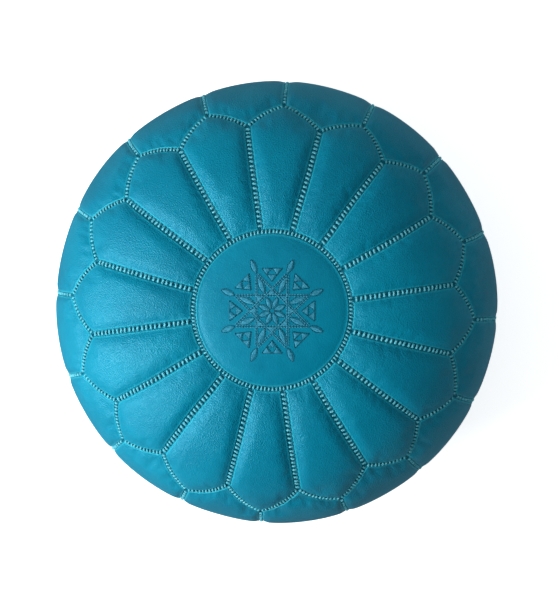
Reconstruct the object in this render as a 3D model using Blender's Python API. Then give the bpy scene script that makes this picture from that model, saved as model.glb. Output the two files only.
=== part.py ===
"""A round Moroccan leather pouf: sixteen petals and an embroidered medallion on top, sixteen side panels,
and a base in two halves closed by a zipper. Inside are a cotton lining bag and the stuffing.

Metres, +Z up. The origin is on the floor, at the middle of the base. The zipper runs along X.
"""

import math

import bmesh
import bpy
import numpy as np
from mathutils import Vector

# Driving dimensions of the stuffed pouf
RADIUS = 0.2585
HEIGHT = 0.300
GIRTH_HEIGHT = 0.150  # the widest place
FLAT_TOP_RADIUS = 0.084  # the medallion, flat under its embroidery
FLAT_BASE_RADIUS = 0.120
SHOULDER_POWER = 2.2  # superellipse exponents, above and below the girth
BASE_POWER = 2.3
LEATHER = 0.0015
PUFF = 0.003  # how far a panel's middle swells past its seams

# The pattern of the leather
PETALS = 16
PITCH = 2 * math.pi / PETALS
FIRST_SEAM = math.radians(7.9)  # direction of the first seam between two petals
CORNER_RADIUS = 0.199  # where two petals and a side panel meet
TIP_RADIUS = 0.222  # a petal's point, where two side panels meet it
ARCH_ROUNDING = 0.3  # 0 is a straight-sided point, 1 a parabola
BASE_SEAM_RADIUS = 0.178
SEAM_GAP = 0.0018  # between two leather edges, where the thread runs
THREAD_RADIUS = 0.0005

# The placket, a lens-shaped opening in the base, and the zipper in it
PLACKET_HALF_WIDTH = 0.009
PLACKET_FULL_LENGTH = 0.256
PLACKET_LENGTH = 0.300
LIP_ROLL = 0.011  # how far from its edge the leather starts to roll up
LIP_HEIGHT = 0.0092
SEAM_LIP_HEIGHT = 0.002
BASE_CORNER = 0.0024  # blunts the two corners of each base half, where the placket's line meets the rim
LIP_ROWS = 4  # rows of points over the rolled lip
LIP_ROW_LIMIT = 0.08  # most of the way to the rim that one such row may take
BASE_ROW_SHARES = (0.66, 0.82, 1.0)  # the rows from there to the rim
CHAIN_HEIGHT = 0.01025
CHAIN_LENGTH = 0.220
TOOTH_PITCH = 0.005
TOOTH_WIDTH = 0.0017
TOOTH_REACH = 0.0016  # past the zipper's middle line
TEETH_THICKNESS = 0.0026
BEAD_INNER, BEAD_OUTER = 0.0022, 0.0034
TAPE_THICKNESS = 0.0006
TAPE_OUTER = 0.016
TAPE_LENGTH = 0.280

# The slider, in its own frame: +X is the closed end, -Z the side that faces the floor
SLIDER_LENGTH = 0.016
SLIDER_HALF_FRONT, SLIDER_HALF_REAR = 0.0065, 0.0056
SLIDER_X = 0.110
CHANNEL_HALF_HEIGHT = 0.00165
CHANNEL_HALF_WIDTH = 0.0042
PLATE = 0.0012
TAPE_SLOT_HALF = 0.00065
DIVIDER_FROM, DIVIDER_HALF_WIDTH = 0.005, 0.0012
CROWN_HALF_LENGTH, CROWN_HALF_WIDTH, CROWN_RISE = 0.006, 0.0012, 0.0028
EYE_HALF_LENGTH, EYE_RISE = 0.003, 0.0020
PULL_LENGTH, PULL_HALF_WIDTH, PULL_THICKNESS = 0.029, 0.0038, 0.0011
PULL_WINDOW_LENGTH, PULL_WINDOW_HALF = 0.0072, 0.0020

# Inside
LINING_INSET = 0.0040
LINING_THICKNESS = 0.0010
STUFFING_INSET = 0.0054
CHANNEL_HALF = 0.0195  # the groove in lining and stuffing over the placket
CHANNEL_TOP = 0.0160
LINING_SLOT_HALF = 0.004
ROUND_STEPS = 32

# Embroidery: an eight-pointed star
STAR_POINTS = 8
STAR_TIP, STAR_NOTCH = 0.058, 0.036
STAR_THICKNESS = 0.0006
REST_GAP = 0.00035


def material(name, colour, roughness, metallic=0.0):
    made = bpy.data.materials.new(name)
    made.use_nodes = True
    shader = made.node_tree.nodes["Principled BSDF"]
    shader.inputs["Base Color"].default_value = (*colour, 1)
    shader.inputs["Roughness"].default_value = roughness
    shader.inputs["Metallic"].default_value = metallic
    return made


def add_object(name, mesh, paint, smooth_below=40):
    """Links a mesh as a named object, with its faces turned outwards."""
    mesh.materials.append(paint)
    mesh.shade_smooth()
    mesh.set_sharp_from_angle(angle=math.radians(smooth_below))
    made = bpy.data.objects.new(name, mesh)
    bpy.context.scene.collection.objects.link(made)
    return made


def make_profile(samples=600):
    """The cover's outline from the top centre to the base centre: arc length, radius and height."""
    angle = np.linspace(0, math.pi / 2, samples)
    upper = 2 / SHOULDER_POWER
    lower = 2 / BASE_POWER
    top_rise = HEIGHT - GIRTH_HEIGHT
    r_upper = FLAT_TOP_RADIUS + (RADIUS - FLAT_TOP_RADIUS) * np.sin(angle) ** upper
    z_upper = GIRTH_HEIGHT + top_rise * np.cos(angle) ** upper
    r_lower = FLAT_BASE_RADIUS + (RADIUS - FLAT_BASE_RADIUS) * np.sin(angle) ** lower
    z_lower = GIRTH_HEIGHT * (1 - np.cos(angle) ** lower)
    r = np.concatenate([[0], r_upper, r_lower[-2::-1], [0]])
    z = np.concatenate([[HEIGHT], z_upper, z_lower[-2::-1], [0]])
    z[samples] = GIRTH_HEIGHT
    length = np.concatenate([[0], np.cumsum(np.hypot(np.diff(r), np.diff(z)))])
    return length, r, z


ARC, PROFILE_R, PROFILE_Z = make_profile()
GIRTH = int(np.argmax(PROFILE_R))


def arc_above(radius):
    """Arc length from the top centre down to this radius, above the girth."""
    return float(np.interp(radius, PROFILE_R[: GIRTH + 1], ARC[: GIRTH + 1]))


def arc_below(radius):
    """Arc length down to this radius, below the girth."""
    return float(np.interp(radius, PROFILE_R[GIRTH:][::-1], ARC[GIRTH:][::-1]))


def outline(arc):
    """(radius, height) and the outward direction there."""
    step = 0.0005
    r, z = (float(np.interp(arc, ARC, p)) for p in (PROFILE_R, PROFILE_Z))
    before, after = max(arc - step, 0), min(arc + step, ARC[-1])
    dr = np.interp(after, ARC, PROFILE_R) - np.interp(before, ARC, PROFILE_R)
    dz = np.interp(after, ARC, PROFILE_Z) - np.interp(before, ARC, PROFILE_Z)
    size = math.hypot(dr, dz)
    return r, z, -dz / size, dr / size


def cover(theta, arc, raised=0.0):
    """A point on the cover, raised along the outward direction."""
    r, z, out_r, out_z = outline(arc)
    r, z = r + raised * out_r, z + raised * out_z
    return Vector((r * math.cos(theta), r * math.sin(theta), z))


def arch_radius(u):
    """The petals' outer edge: u is 0 at a petal's tip and 1 at its corners."""
    u = abs(u)
    point = (1 - ARCH_ROUNDING) * (1 - u) + ARCH_ROUNDING * (1 - u * u)
    return CORNER_RADIUS + (TIP_RADIUS - CORNER_RADIUS) * point


def grid_faces(columns, rows):
    """Quads of a grid whose points are listed row by row."""
    return [
        (r * columns + c, r * columns + c + 1, (r + 1) * columns + c + 1, (r + 1) * columns + c)
        for r in range(rows - 1)
        for c in range(columns - 1)
    ]


def thicken(made, thickness=LEATHER):
    solid = made.modifiers.new("Leather thickness", "SOLIDIFY")
    solid.thickness = thickness
    solid.offset = -1
    return made


def cover_panel(name, paint, middle, bounds, columns, rows):
    """A leather panel half a pitch wide each way; bounds(u) gives its first and last arc length."""
    points = []
    for row in range(rows):
        v = row / (rows - 1)
        for column in range(columns):
            u = 2 * column / (columns - 1) - 1
            first, last = bounds(u)
            arc = first + (last - first) * v
            gap = math.asin(SEAM_GAP / 2 / outline(arc)[0])
            swell = PUFF * (1 - u * u) * math.sin(math.pi * v)
            points.append(cover(middle + u * (PITCH / 2 - gap), arc, swell))
    faces = [face[::-1] for face in grid_faces(columns, rows)]
    mesh = bpy.data.meshes.new(name)
    mesh.from_pydata(points, [], faces)
    if mesh.polygons[0].normal.dot(points[0]) < 0:
        mesh.flip_normals()
    return thicken(add_object(name, mesh, paint))


def make_petals(paint):
    first = arc_above(FLAT_TOP_RADIUS + SEAM_GAP / 2)

    def bounds(u):
        return first, arc_above(arch_radius(u) - SEAM_GAP / 2)

    for n in range(PETALS):
        middle = FIRST_SEAM + (n + 0.5) * PITCH
        cover_panel(f"petal_{n + 1:02d}", paint, middle, bounds, columns=5, rows=5)


def make_side_panels(paint):
    last = arc_below(BASE_SEAM_RADIUS + SEAM_GAP / 2)

    def bounds(u):
        return arc_above(arch_radius(1 - abs(u)) + SEAM_GAP / 2), last

    for n in range(PETALS):
        middle = FIRST_SEAM + n * PITCH
        cover_panel(f"side_panel_{n + 1:02d}", paint, middle, bounds, columns=5, rows=10)


def disc_points(radius, height, steps):
    turn = 2 * math.pi / steps
    return [
        (radius * math.cos(k * turn + FIRST_SEAM), radius * math.sin(k * turn + FIRST_SEAM), height)
        for k in range(steps)
    ]


def make_medallion(paint):
    """A flat disc of leather."""
    work = bmesh.new()
    rim = disc_points(FLAT_TOP_RADIUS - SEAM_GAP / 2, HEIGHT - LEATHER, PETALS * 3)
    bottom = work.faces.new([work.verts.new(p) for p in rim])
    raised = bmesh.ops.extrude_face_region(work, geom=[bottom])["geom"]
    lifted = [v for v in raised if isinstance(v, bmesh.types.BMVert)]
    bmesh.ops.translate(work, verts=lifted, vec=(0, 0, LEATHER))
    bmesh.ops.recalc_face_normals(work, faces=work.faces)
    mesh = bpy.data.meshes.new("medallion")
    work.to_mesh(mesh)
    work.free()
    add_object("medallion", mesh, paint)


def make_embroidery(paint):
    """The tonal star on the medallion, as one padded patch."""
    work = bmesh.new()
    base = HEIGHT + REST_GAP
    turn = math.pi / STAR_POINTS
    rim = []
    for k in range(2 * STAR_POINTS):
        radius = STAR_NOTCH if k % 2 else STAR_TIP
        angle = (k + 1) * turn
        rim.append(work.verts.new((radius * math.cos(angle), radius * math.sin(angle), base)))
    bottom = work.faces.new(rim)
    raised = bmesh.ops.extrude_face_region(work, geom=[bottom])["geom"]
    lifted = [v for v in raised if isinstance(v, bmesh.types.BMVert)]
    bmesh.ops.translate(work, verts=lifted, vec=(0, 0, STAR_THICKNESS))
    bmesh.ops.recalc_face_normals(work, faces=work.faces)
    mesh = bpy.data.meshes.new("star_embroidery")
    work.to_mesh(mesh)
    work.free()
    add_object("star_embroidery", mesh, paint)


def smooth_step(x, low, high):
    t = min(max((x - low) / (high - low), 0), 1)
    return t * t * (3 - 2 * t)


def placket(x):
    """1 where the placket is fully open, 0 past its ends."""
    return 1 - smooth_step(abs(x), PLACKET_FULL_LENGTH / 2, PLACKET_LENGTH / 2)


def placket_edge(x):
    closed = SEAM_GAP / 2
    return closed + (PLACKET_HALF_WIDTH - closed) * placket(x)


def base_height(x, y):
    """The base's underside: flat, rising to the base seam, and rolled up along the placket."""
    radius = math.hypot(x, y)
    rim = outline(arc_below(radius))[1] if radius > FLAT_BASE_RADIUS else 0.0
    inward = min(max((abs(y) - placket_edge(x)) / LIP_ROLL, 0), 1)
    lip = SEAM_LIP_HEIGHT + (LIP_HEIGHT - SEAM_LIP_HEIGHT) * placket(x)
    return rim + lip * (1 - math.sqrt(1 - (1 - inward) ** 2))


def make_base_half(name, paint, side, columns=21):
    """Half of the base disc, on the +Y side (side 1) or the -Y side (side -1)."""
    rim_radius = BASE_SEAM_RADIUS - SEAM_GAP / 2
    roll = [LIP_ROLL * (1 - math.sin(math.pi / 2 * k / LIP_ROWS)) for k in range(LIP_ROWS, 0, -1)] + [LIP_ROLL]
    points = []
    for row in range(len(roll) + len(BASE_ROW_SHARES)):
        for column in range(columns):
            angle = math.pi * column / (columns - 1)
            outer = Vector((rim_radius * math.cos(angle), rim_radius * math.sin(angle)))
            x = (rim_radius - BASE_CORNER) * math.cos(angle)
            inner = Vector((x, placket_edge(x)))
            outer.y = max(outer.y, SEAM_GAP / 2)
            span = (outer - inner).length
            if row < len(roll):
                share = min(roll[row] / span, row * LIP_ROW_LIMIT)
            else:
                share = BASE_ROW_SHARES[row - len(roll)]
            flat = inner.lerp(outer, share)
            points.append((flat.x, side * flat.y, base_height(flat.x, flat.y)))
    mesh = bpy.data.meshes.new(name)
    mesh.from_pydata(points, [], grid_faces(columns, len(roll) + len(BASE_ROW_SHARES)))
    if sum(p.normal.z * p.area for p in mesh.polygons) > 0:
        mesh.flip_normals()
    thicken(add_object(name, mesh, paint))


def tube_mesh(name, path, radius, closed, sides=4):
    """A round cord along a path."""
    work = bmesh.new()
    count = len(path)
    rings = []
    for k, point in enumerate(path):
        before = path[k - 1] if closed or k else path[0]
        after = path[(k + 1) % count] if closed or k < count - 1 else path[-1]
        along = (after - before).normalized()
        out = Vector((point.x, point.y, point.z - GIRTH_HEIGHT)).normalized()
        across = along.cross(out).normalized()
        up = across.cross(along)
        ring = []
        for s in range(sides):
            a = 2 * math.pi * s / sides
            ring.append(work.verts.new(point + radius * (math.cos(a) * across + math.sin(a) * up)))
        rings.append(ring)
    for k in range(count if closed else count - 1):
        one, two = rings[k], rings[(k + 1) % count]
        for s in range(sides):
            work.faces.new((one[s], one[(s + 1) % sides], two[(s + 1) % sides], two[s]))
    if not closed:
        work.faces.new(rings[0])
        work.faces.new(rings[-1])
    bmesh.ops.recalc_face_normals(work, faces=work.faces)
    mesh = bpy.data.meshes.new(name)
    work.to_mesh(mesh)
    work.free()
    return mesh


def thread_with_branches(name, paint, ring, branches):
    """A closed thread along a seam, with the threads that branch off it knotted on."""
    made = add_object(name, tube_mesh(name, ring, THREAD_RADIUS, closed=True), paint)
    if not branches:
        return
    knotted = bpy.data.collections.new(name + "_branches")
    bpy.context.scene.collection.children.link(knotted)
    knotted.hide_render = True
    for n, path in enumerate(branches):
        mesh = tube_mesh(f"{name}_branch_{n}", path, THREAD_RADIUS, closed=False)
        branch = bpy.data.objects.new(f"{name}_branch_{n}", mesh)
        branch.hide_render = True
        branch.display_type = "WIRE"
        knotted.objects.link(branch)
    join = made.modifiers.new("Knotted on", "BOOLEAN")
    join.operation = "UNION"
    join.operand_type = "COLLECTION"
    join.collection = knotted


def seam_path(theta, first, last, points):
    """Along a seam that runs down the cover, in the middle of the leather's thickness."""
    steps = np.linspace(first, last, points)
    return [cover(theta, arc, -LEATHER / 2) for arc in steps]


def make_threads(paint):
    """The sewing thread of each seam, running in the gap between the leather edges."""
    seams = [FIRST_SEAM + n * PITCH for n in range(PETALS)]
    tips = [FIRST_SEAM + (n + 0.5) * PITCH for n in range(PETALS)]
    top_arc = arc_above(FLAT_TOP_RADIUS)
    corner_arc = arc_above(CORNER_RADIUS)
    tip_arc = arc_above(TIP_RADIUS)
    base_arc = arc_below(BASE_SEAM_RADIUS)
    clear = 4 * THREAD_RADIUS
    steps = PETALS * 3
    turns = [FIRST_SEAM + 2 * math.pi * k / steps for k in range(steps)]
    ring = [cover(a, top_arc, -LEATHER / 2) for a in turns]
    spokes = [seam_path(a, top_arc, corner_arc - clear, 5) for a in seams]
    thread_with_branches("petal_seam_thread", paint, ring, spokes)
    across = np.linspace(-1, 1, 5)[:-1]
    arches = [
        cover(tip + u * PITCH / 2, arc_above(arch_radius(u)), -LEATHER / 2)
        for tip in tips
        for u in across
    ]
    sides = [seam_path(a, tip_arc, base_arc - clear, 11) for a in tips]
    thread_with_branches("side_seam_thread", paint, arches, sides)
    ring = [cover(a, base_arc, -LEATHER / 2) for a in turns]
    thread_with_branches("base_seam_thread", paint, ring, [])


def turned_solid(name, inset):
    """A solid turned from the cover's outline moved inwards."""
    arcs = np.linspace(arc_above(FLAT_TOP_RADIUS), arc_below(FLAT_BASE_RADIUS + 0.001), 13)
    profile = [(r - inset * out_r, z - inset * out_z) for r, z, out_r, out_z in map(outline, arcs)]
    points = [(0, 0, HEIGHT - inset)]
    for r, z in profile:
        points.extend(disc_points(r, z, ROUND_STEPS))
    points.append((0, 0, inset))
    faces = []
    for k in range(ROUND_STEPS):
        after = (k + 1) % ROUND_STEPS
        faces.append((0, 1 + k, 1 + after))
        for row in range(len(profile) - 1):
            one = 1 + row * ROUND_STEPS
            two = one + ROUND_STEPS
            faces.append((one + k, two + k, two + after, one + after))
        last = 1 + (len(profile) - 1) * ROUND_STEPS
        faces.append((last + after, last + k, len(points) - 1))
    mesh = bpy.data.meshes.new(name)
    mesh.from_pydata(points, [], faces)
    return mesh


def hide_cutter(made):
    made.hide_render = True
    made.display_type = "WIRE"
    return made


def box(name, low, high):
    """A cutter box between two corners."""
    mesh = bpy.data.meshes.new(name)
    work = bmesh.new()
    bmesh.ops.create_cube(work, size=1)
    low, high = Vector(low), Vector(high)
    for vert in work.verts:
        for axis in range(3):
            vert.co[axis] = high[axis] if vert.co[axis] > 0 else low[axis]
    work.to_mesh(mesh)
    work.free()
    made = bpy.data.objects.new(name, mesh)
    bpy.context.scene.collection.objects.link(made)
    return hide_cutter(made)


def change(made, operation, other):
    step = made.modifiers.new(other.name, "BOOLEAN")
    step.operation = operation
    step.object = other


def placket_groove(name, room):
    """The space over the placket that lining and stuffing leave free, with some room added."""
    half = PLACKET_LENGTH / 2 + room
    side = CHANNEL_HALF + room
    return box(name, (-half, -side, -0.001), (half, side, CHANNEL_TOP + room))


def make_inside(cotton, fill):
    """The lining bag, a shell with a slot over the zipper, and the stuffing in it."""
    inner = LINING_INSET + LINING_THICKNESS
    hollow = hide_cutter(add_object("lining_hollow", turned_solid("lining_hollow", inner), cotton))
    change(hollow, "DIFFERENCE", placket_groove("hollow_groove", LINING_THICKNESS))
    lining = add_object("lining_bag", turned_solid("lining_bag", LINING_INSET), cotton)
    change(lining, "DIFFERENCE", placket_groove("lining_groove", 0))
    change(lining, "DIFFERENCE", hollow)
    slot = box(
        "lining_slot",
        (-CHAIN_LENGTH / 2, -LINING_SLOT_HALF, CHANNEL_TOP - LINING_THICKNESS),
        (CHAIN_LENGTH / 2, LINING_SLOT_HALF, CHANNEL_TOP + 2 * LINING_THICKNESS),
    )
    change(lining, "DIFFERENCE", slot)
    stuffing = add_object("stuffing", turned_solid("stuffing", STUFFING_INSET), fill)
    gap = STUFFING_INSET - inner
    change(stuffing, "DIFFERENCE", placket_groove("stuffing_groove", LINING_THICKNESS + gap))


def extruded(name, outline_points, low, high, paint):
    """A flat outline in x and y, given thickness between two heights."""
    work = bmesh.new()
    bottom = work.faces.new([work.verts.new((x, y, low)) for x, y in outline_points])
    raised = bmesh.ops.extrude_face_region(work, geom=[bottom])["geom"]
    lifted = [v for v in raised if isinstance(v, bmesh.types.BMVert)]
    bmesh.ops.translate(work, verts=lifted, vec=(0, 0, high - low))
    bmesh.ops.recalc_face_normals(work, faces=work.faces)
    mesh = bpy.data.meshes.new(name)
    work.to_mesh(mesh)
    work.free()
    return add_object(name, mesh, paint)


def make_teeth(name, paint, side):
    """One row of teeth moulded on its bead; the two rows mesh half a pitch apart."""
    half = CHAIN_LENGTH / 2
    count = int(CHAIN_LENGTH / TOOTH_PITCH) - 1
    start = -half + (1.0 if side > 0 else 1.5) * TOOTH_PITCH
    points = [(-half, BEAD_OUTER), (-half, BEAD_INNER)]
    for k in range(count):
        middle = start + k * TOOTH_PITCH
        root, tip = TOOTH_WIDTH / 2 * 1.3, TOOTH_WIDTH / 2
        points += [(middle - root, BEAD_INNER), (middle - tip, -TOOTH_REACH)]
        points += [(middle + tip, -TOOTH_REACH), (middle + root, BEAD_INNER)]
    last = start + (count - 1) * TOOTH_PITCH + TOOTH_WIDTH
    points += [(last, BEAD_INNER), (last, BEAD_OUTER)]
    points = [(x, side * y) for x, y in points]
    low = CHAIN_HEIGHT - TEETH_THICKNESS / 2
    extruded(name, points, low, low + TEETH_THICKNESS, paint)


def make_tape(name, paint, side):
    """Woven tape, notched round its row of teeth."""
    inner = BEAD_OUTER + REST_GAP
    half = TAPE_LENGTH / 2
    corners = [(-half, inner), (half, inner), (half, TAPE_OUTER), (-half, TAPE_OUTER)]
    low = CHAIN_HEIGHT - TAPE_THICKNESS / 2
    points = [(x, side * y) for x, y in corners]
    extruded(name, points, low, low + TAPE_THICKNESS, paint)


def make_stops(paint):
    """The stop sewn across the tapes past each end of the chain."""
    for name, side in (("zipper_end_stop", -1), ("zipper_top_stop", 1)):
        near = CHAIN_LENGTH / 2 + (0.0012 if side < 0 else 0.0105)
        far = near + 0.005
        xs = sorted((side * near, side * far))
        half = BEAD_OUTER - 0.0002
        corners = [(xs[0], -half), (xs[1], -half), (xs[1], half), (xs[0], half)]
        thick = TEETH_THICKNESS / 2
        stop = extruded(name, corners, CHAIN_HEIGHT - thick, CHAIN_HEIGHT + thick, paint)
        edge = stop.modifiers.new("Rounded", "BEVEL")
        edge.width = 0.0004
        edge.segments = 1


def make_slider(paint, body):
    """Two plates round the chain, joined by the divider, with a crown for the pull to hang on."""
    half = SLIDER_LENGTH / 2
    waist = 0.002
    half_outline = [(-half, SLIDER_HALF_REAR - 0.001), (-half + 0.001, SLIDER_HALF_REAR)]
    half_outline += [(waist, SLIDER_HALF_REAR), (half - 0.0035, SLIDER_HALF_FRONT)]
    half_outline += [(half - 0.001, SLIDER_HALF_FRONT), (half, SLIDER_HALF_FRONT - 0.0015)]
    points = half_outline + [(x, -y) for x, y in reversed(half_outline)]
    top = CHANNEL_HALF_HEIGHT + PLATE
    slider = extruded("zipper_slider", points, -top, top, paint)
    channel = box(
        "slider_channel",
        (-0.02, -CHANNEL_HALF_WIDTH, -CHANNEL_HALF_HEIGHT),
        (0.02, CHANNEL_HALF_WIDTH, CHANNEL_HALF_HEIGHT),
    )
    tape_way = box("slider_tape_way", (-0.02, -0.02, -TAPE_SLOT_HALF), (0.02, 0.02, TAPE_SLOT_HALF))
    sink = 0.0003
    divider = box(
        "slider_divider",
        (DIVIDER_FROM, -DIVIDER_HALF_WIDTH, -CHANNEL_HALF_HEIGHT - sink),
        (half - 0.0006, DIVIDER_HALF_WIDTH, CHANNEL_HALF_HEIGHT + sink),
    )
    crown = box(
        "slider_crown",
        (-CROWN_HALF_LENGTH, -CROWN_HALF_WIDTH, -top - CROWN_RISE),
        (CROWN_HALF_LENGTH, CROWN_HALF_WIDTH, -top + sink),
    )
    eye = box(
        "slider_eye",
        (-EYE_HALF_LENGTH, -0.01, -top - EYE_RISE),
        (EYE_HALF_LENGTH, 0.01, -top),
    )
    change(slider, "DIFFERENCE", channel)
    change(slider, "DIFFERENCE", tape_way)
    change(slider, "UNION", divider)
    change(slider, "UNION", crown)
    change(slider, "DIFFERENCE", eye)
    for piece in (slider, channel, tape_way, divider, crown, eye):
        piece.parent = body


def make_pull(paint, hinge):
    """The pull: a plate with a window that clears the crown, and a cross bar through its eye."""
    bar = PULL_THICKNESS / 2
    corner = 0.0012
    end = -PULL_LENGTH
    half = PULL_HALF_WIDTH
    points = [(bar, -half), (bar, half), (end + corner, half), (end, half - corner)]
    points += [(end, corner - half), (end + corner, -half)]
    pull = extruded("zipper_pull", points, -bar, bar, paint)
    window = box(
        "pull_window",
        (-PULL_WINDOW_LENGTH, -PULL_WINDOW_HALF, -0.01),
        (-bar, PULL_WINDOW_HALF, 0.01),
    )
    change(pull, "DIFFERENCE", window)
    for piece in (pull, window):
        piece.parent = hinge


def empty_at(name, place, parent=None):
    made = bpy.data.objects.new(name, None)
    bpy.context.scene.collection.objects.link(made)
    made.location = place
    made.parent = parent
    return made


def make_zipper(metal, moulded, woven):
    for name, side in (("front", -1), ("back", 1)):
        make_teeth("zipper_teeth_" + name, moulded, side)
        make_tape("zipper_tape_" + name, woven, side)
    make_stops(moulded)
    body = empty_at("slider_body", (SLIDER_X, 0, CHAIN_HEIGHT))
    make_slider(metal, body)
    below = CHANNEL_HALF_HEIGHT + PLATE + EYE_RISE / 2
    make_pull(metal, empty_at("pull_hinge", (0, 0, -below), body))


def main():
    for old in list(bpy.data.objects):
        bpy.data.objects.remove(old)
    leather = material("turquoise leather", (0.010, 0.190, 0.270), 0.42)
    silk = material("embroidery silk", (0.050, 0.270, 0.380), 0.5)
    sewing = material("sewing thread", (0.200, 0.520, 0.580), 0.7)
    cotton = material("cotton lining", (0.700, 0.660, 0.560), 0.9)
    fill = material("cotton stuffing", (0.800, 0.780, 0.720), 1.0)
    metal = material("nickel", (0.560, 0.550, 0.520), 0.3, 1.0)
    moulded = material("moulded teeth", (0.020, 0.160, 0.210), 0.4)
    woven = material("zipper tape", (0.015, 0.130, 0.180), 0.85)
    make_medallion(leather)
    make_embroidery(silk)
    make_petals(leather)
    make_side_panels(leather)
    make_base_half("base_front", leather, -1)
    make_base_half("base_back", leather, 1)
    make_threads(sewing)
    make_inside(cotton, fill)
    make_zipper(metal, moulded, woven)


main()
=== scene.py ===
"""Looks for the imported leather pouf: puffed panels, ladder stitches, embroidery, zipper, light and camera."""

import math

import bmesh
import bpy
import numpy as np
from mathutils import Matrix, Vector, noise


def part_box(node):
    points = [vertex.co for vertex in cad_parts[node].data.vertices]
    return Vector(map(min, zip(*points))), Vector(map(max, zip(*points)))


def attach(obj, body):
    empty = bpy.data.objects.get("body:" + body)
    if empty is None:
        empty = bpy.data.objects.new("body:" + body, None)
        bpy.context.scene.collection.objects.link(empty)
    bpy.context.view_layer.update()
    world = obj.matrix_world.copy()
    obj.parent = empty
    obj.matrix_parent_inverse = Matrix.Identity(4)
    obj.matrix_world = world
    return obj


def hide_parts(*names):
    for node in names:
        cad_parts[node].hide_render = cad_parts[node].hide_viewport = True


MM = 0.001
WELD_DISTANCE = 1e-6

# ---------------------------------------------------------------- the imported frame
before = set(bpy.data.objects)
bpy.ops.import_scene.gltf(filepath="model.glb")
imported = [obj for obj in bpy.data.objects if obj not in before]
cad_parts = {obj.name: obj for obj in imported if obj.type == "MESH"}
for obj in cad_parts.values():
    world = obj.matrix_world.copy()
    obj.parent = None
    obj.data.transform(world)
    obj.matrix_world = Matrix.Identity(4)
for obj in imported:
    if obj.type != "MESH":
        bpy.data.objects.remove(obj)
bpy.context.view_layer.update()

# The cover's shape, as in the CAD source
RADIUS = 0.2585
GIRTH_HEIGHT = 0.150
FLAT_BASE_RADIUS = 0.120
SHOULDER_POWER = 2.2
BASE_POWER = 2.3
PETALS = 16
PITCH = 2 * math.pi / PETALS
FIRST_SEAM = math.radians(7.9)
CORNER_RADIUS = 0.199
TIP_RADIUS = 0.222
ARCH_ROUNDING = 0.3
SEAM_GAP = 1.8 * MM
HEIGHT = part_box("medallion")[1].z
FLAT_TOP_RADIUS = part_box("medallion")[1].x + SEAM_GAP / 2
BASE_SEAM_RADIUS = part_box("base_back")[1].x + SEAM_GAP / 2

# Petals that were cut longer, as (middle and width in degrees, longer all along, still longer at the point)
LONGER_PETALS = ((-95, 30, 3 * MM, 10 * MM), (180, 60, 1 * MM, 4 * MM))
# Unevenness as waves: (how many round the cover, radians from top to base, start, height in mm)
LUMPS = ((3, 5, 1.1, 0.55), (5, -8, -0.7, 0.44), (8, 11, 2.3, 0.33), (2, 0, 4.0, 0.275))
LUMPS_RISE, LUMPS_FALL = (0.10, 0.19), (0.08, 0.15)
SWAY = ((7, 9, 0.0, 0.9), (11, 0, -2.0, 0.6))
SWAY_RISE, SWAY_FALL = (0.10, 0.15), (0.10, 0.16)

# Seams: two folded leather edges with a channel between them, crossed by thread
LEATHER = 1.6 * MM
CHANNEL_DEPTH = 1.8 * MM
FOLD = 0.55 * MM
SHOULDER = 0.9 * MM
SHOULDER_REACH = 5.0 * MM
EDGE_BEAD = 0.8 * MM
BEAD_REACH = 0.75 * MM
PILLOW_REACH = 4.5 * MM
RING_HALF = 2.6 * MM
SPOKE_HALF = 3.1 * MM
ARCH_HALF = 2.4 * MM
SIDE_HALF = 2.3 * MM
BASE_HALF = 2.4 * MM

# Where the leather is paler along a folded edge, partly wear and partly a painted highlight: how far in, and
# how wide
WEAR_AND_HIGHLIGHT_AT = 0.5 * MM
WEAR_AND_HIGHLIGHT_WIDTH = 0.9 * MM
WEAR_AND_HIGHLIGHT_WIDTH_FLAT = 1.2 * MM


def smooth_step(x, low, high):
    t = np.clip((np.asarray(x, float) - low) / (high - low), 0, 1)
    return t * t * (3 - 2 * t)


# ---------------------------------------------------------------- the cover as a surface
def make_profile(samples=3000):
    """The cover's outline from the top centre to the base centre: arc length, radius, height and normal."""
    angle = np.linspace(0, math.pi / 2, samples)
    upper, lower = 2 / SHOULDER_POWER, 2 / BASE_POWER
    r_upper = FLAT_TOP_RADIUS + (RADIUS - FLAT_TOP_RADIUS) * np.sin(angle) ** upper
    z_upper = GIRTH_HEIGHT + (HEIGHT - GIRTH_HEIGHT) * np.cos(angle) ** upper
    r_lower = FLAT_BASE_RADIUS + (RADIUS - FLAT_BASE_RADIUS) * np.sin(angle) ** lower
    z_lower = GIRTH_HEIGHT * (1 - np.cos(angle) ** lower)
    r = np.concatenate([[0], r_upper, r_lower[-2::-1], [0]])
    z = np.concatenate([[HEIGHT], z_upper, z_lower[-2::-1], [0]])
    z[samples] = GIRTH_HEIGHT
    arc = np.concatenate([[0], np.cumsum(np.hypot(np.diff(r), np.diff(z)))])
    even = np.linspace(0, arc[-1], samples)
    r, z = np.interp(even, arc, r), np.interp(even, arc, z)
    dr, dz = np.gradient(r, even), np.gradient(z, even)
    size = np.hypot(dr, dz)
    return even, r, z, -dz / size, dr / size


ARC, PROFILE_R, PROFILE_Z, NORMAL_R, NORMAL_Z = make_profile()
GIRTH = int(np.argmax(PROFILE_R))


def arc_above(radius):
    return np.interp(radius, PROFILE_R[: GIRTH + 1], ARC[: GIRTH + 1])


def arc_below(radius):
    return np.interp(radius, PROFILE_R[GIRTH:][::-1], ARC[GIRTH:][::-1])


def radius_at(arc):
    return np.interp(arc, ARC, PROFILE_R)


def uneven(theta, arc, waves, rise, fall):
    """A sum of waves on the side of the cover. It rises over the top's edge and falls past the girth."""
    down = arc / ARC[-1]
    total = sum(high * np.sin(count * theta + slope * down + start) for count, slope, start, high in waves)
    return total * MM * smooth_step(arc, *rise) * (1 - smooth_step(arc - ARC[GIRTH], *fall))


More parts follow.
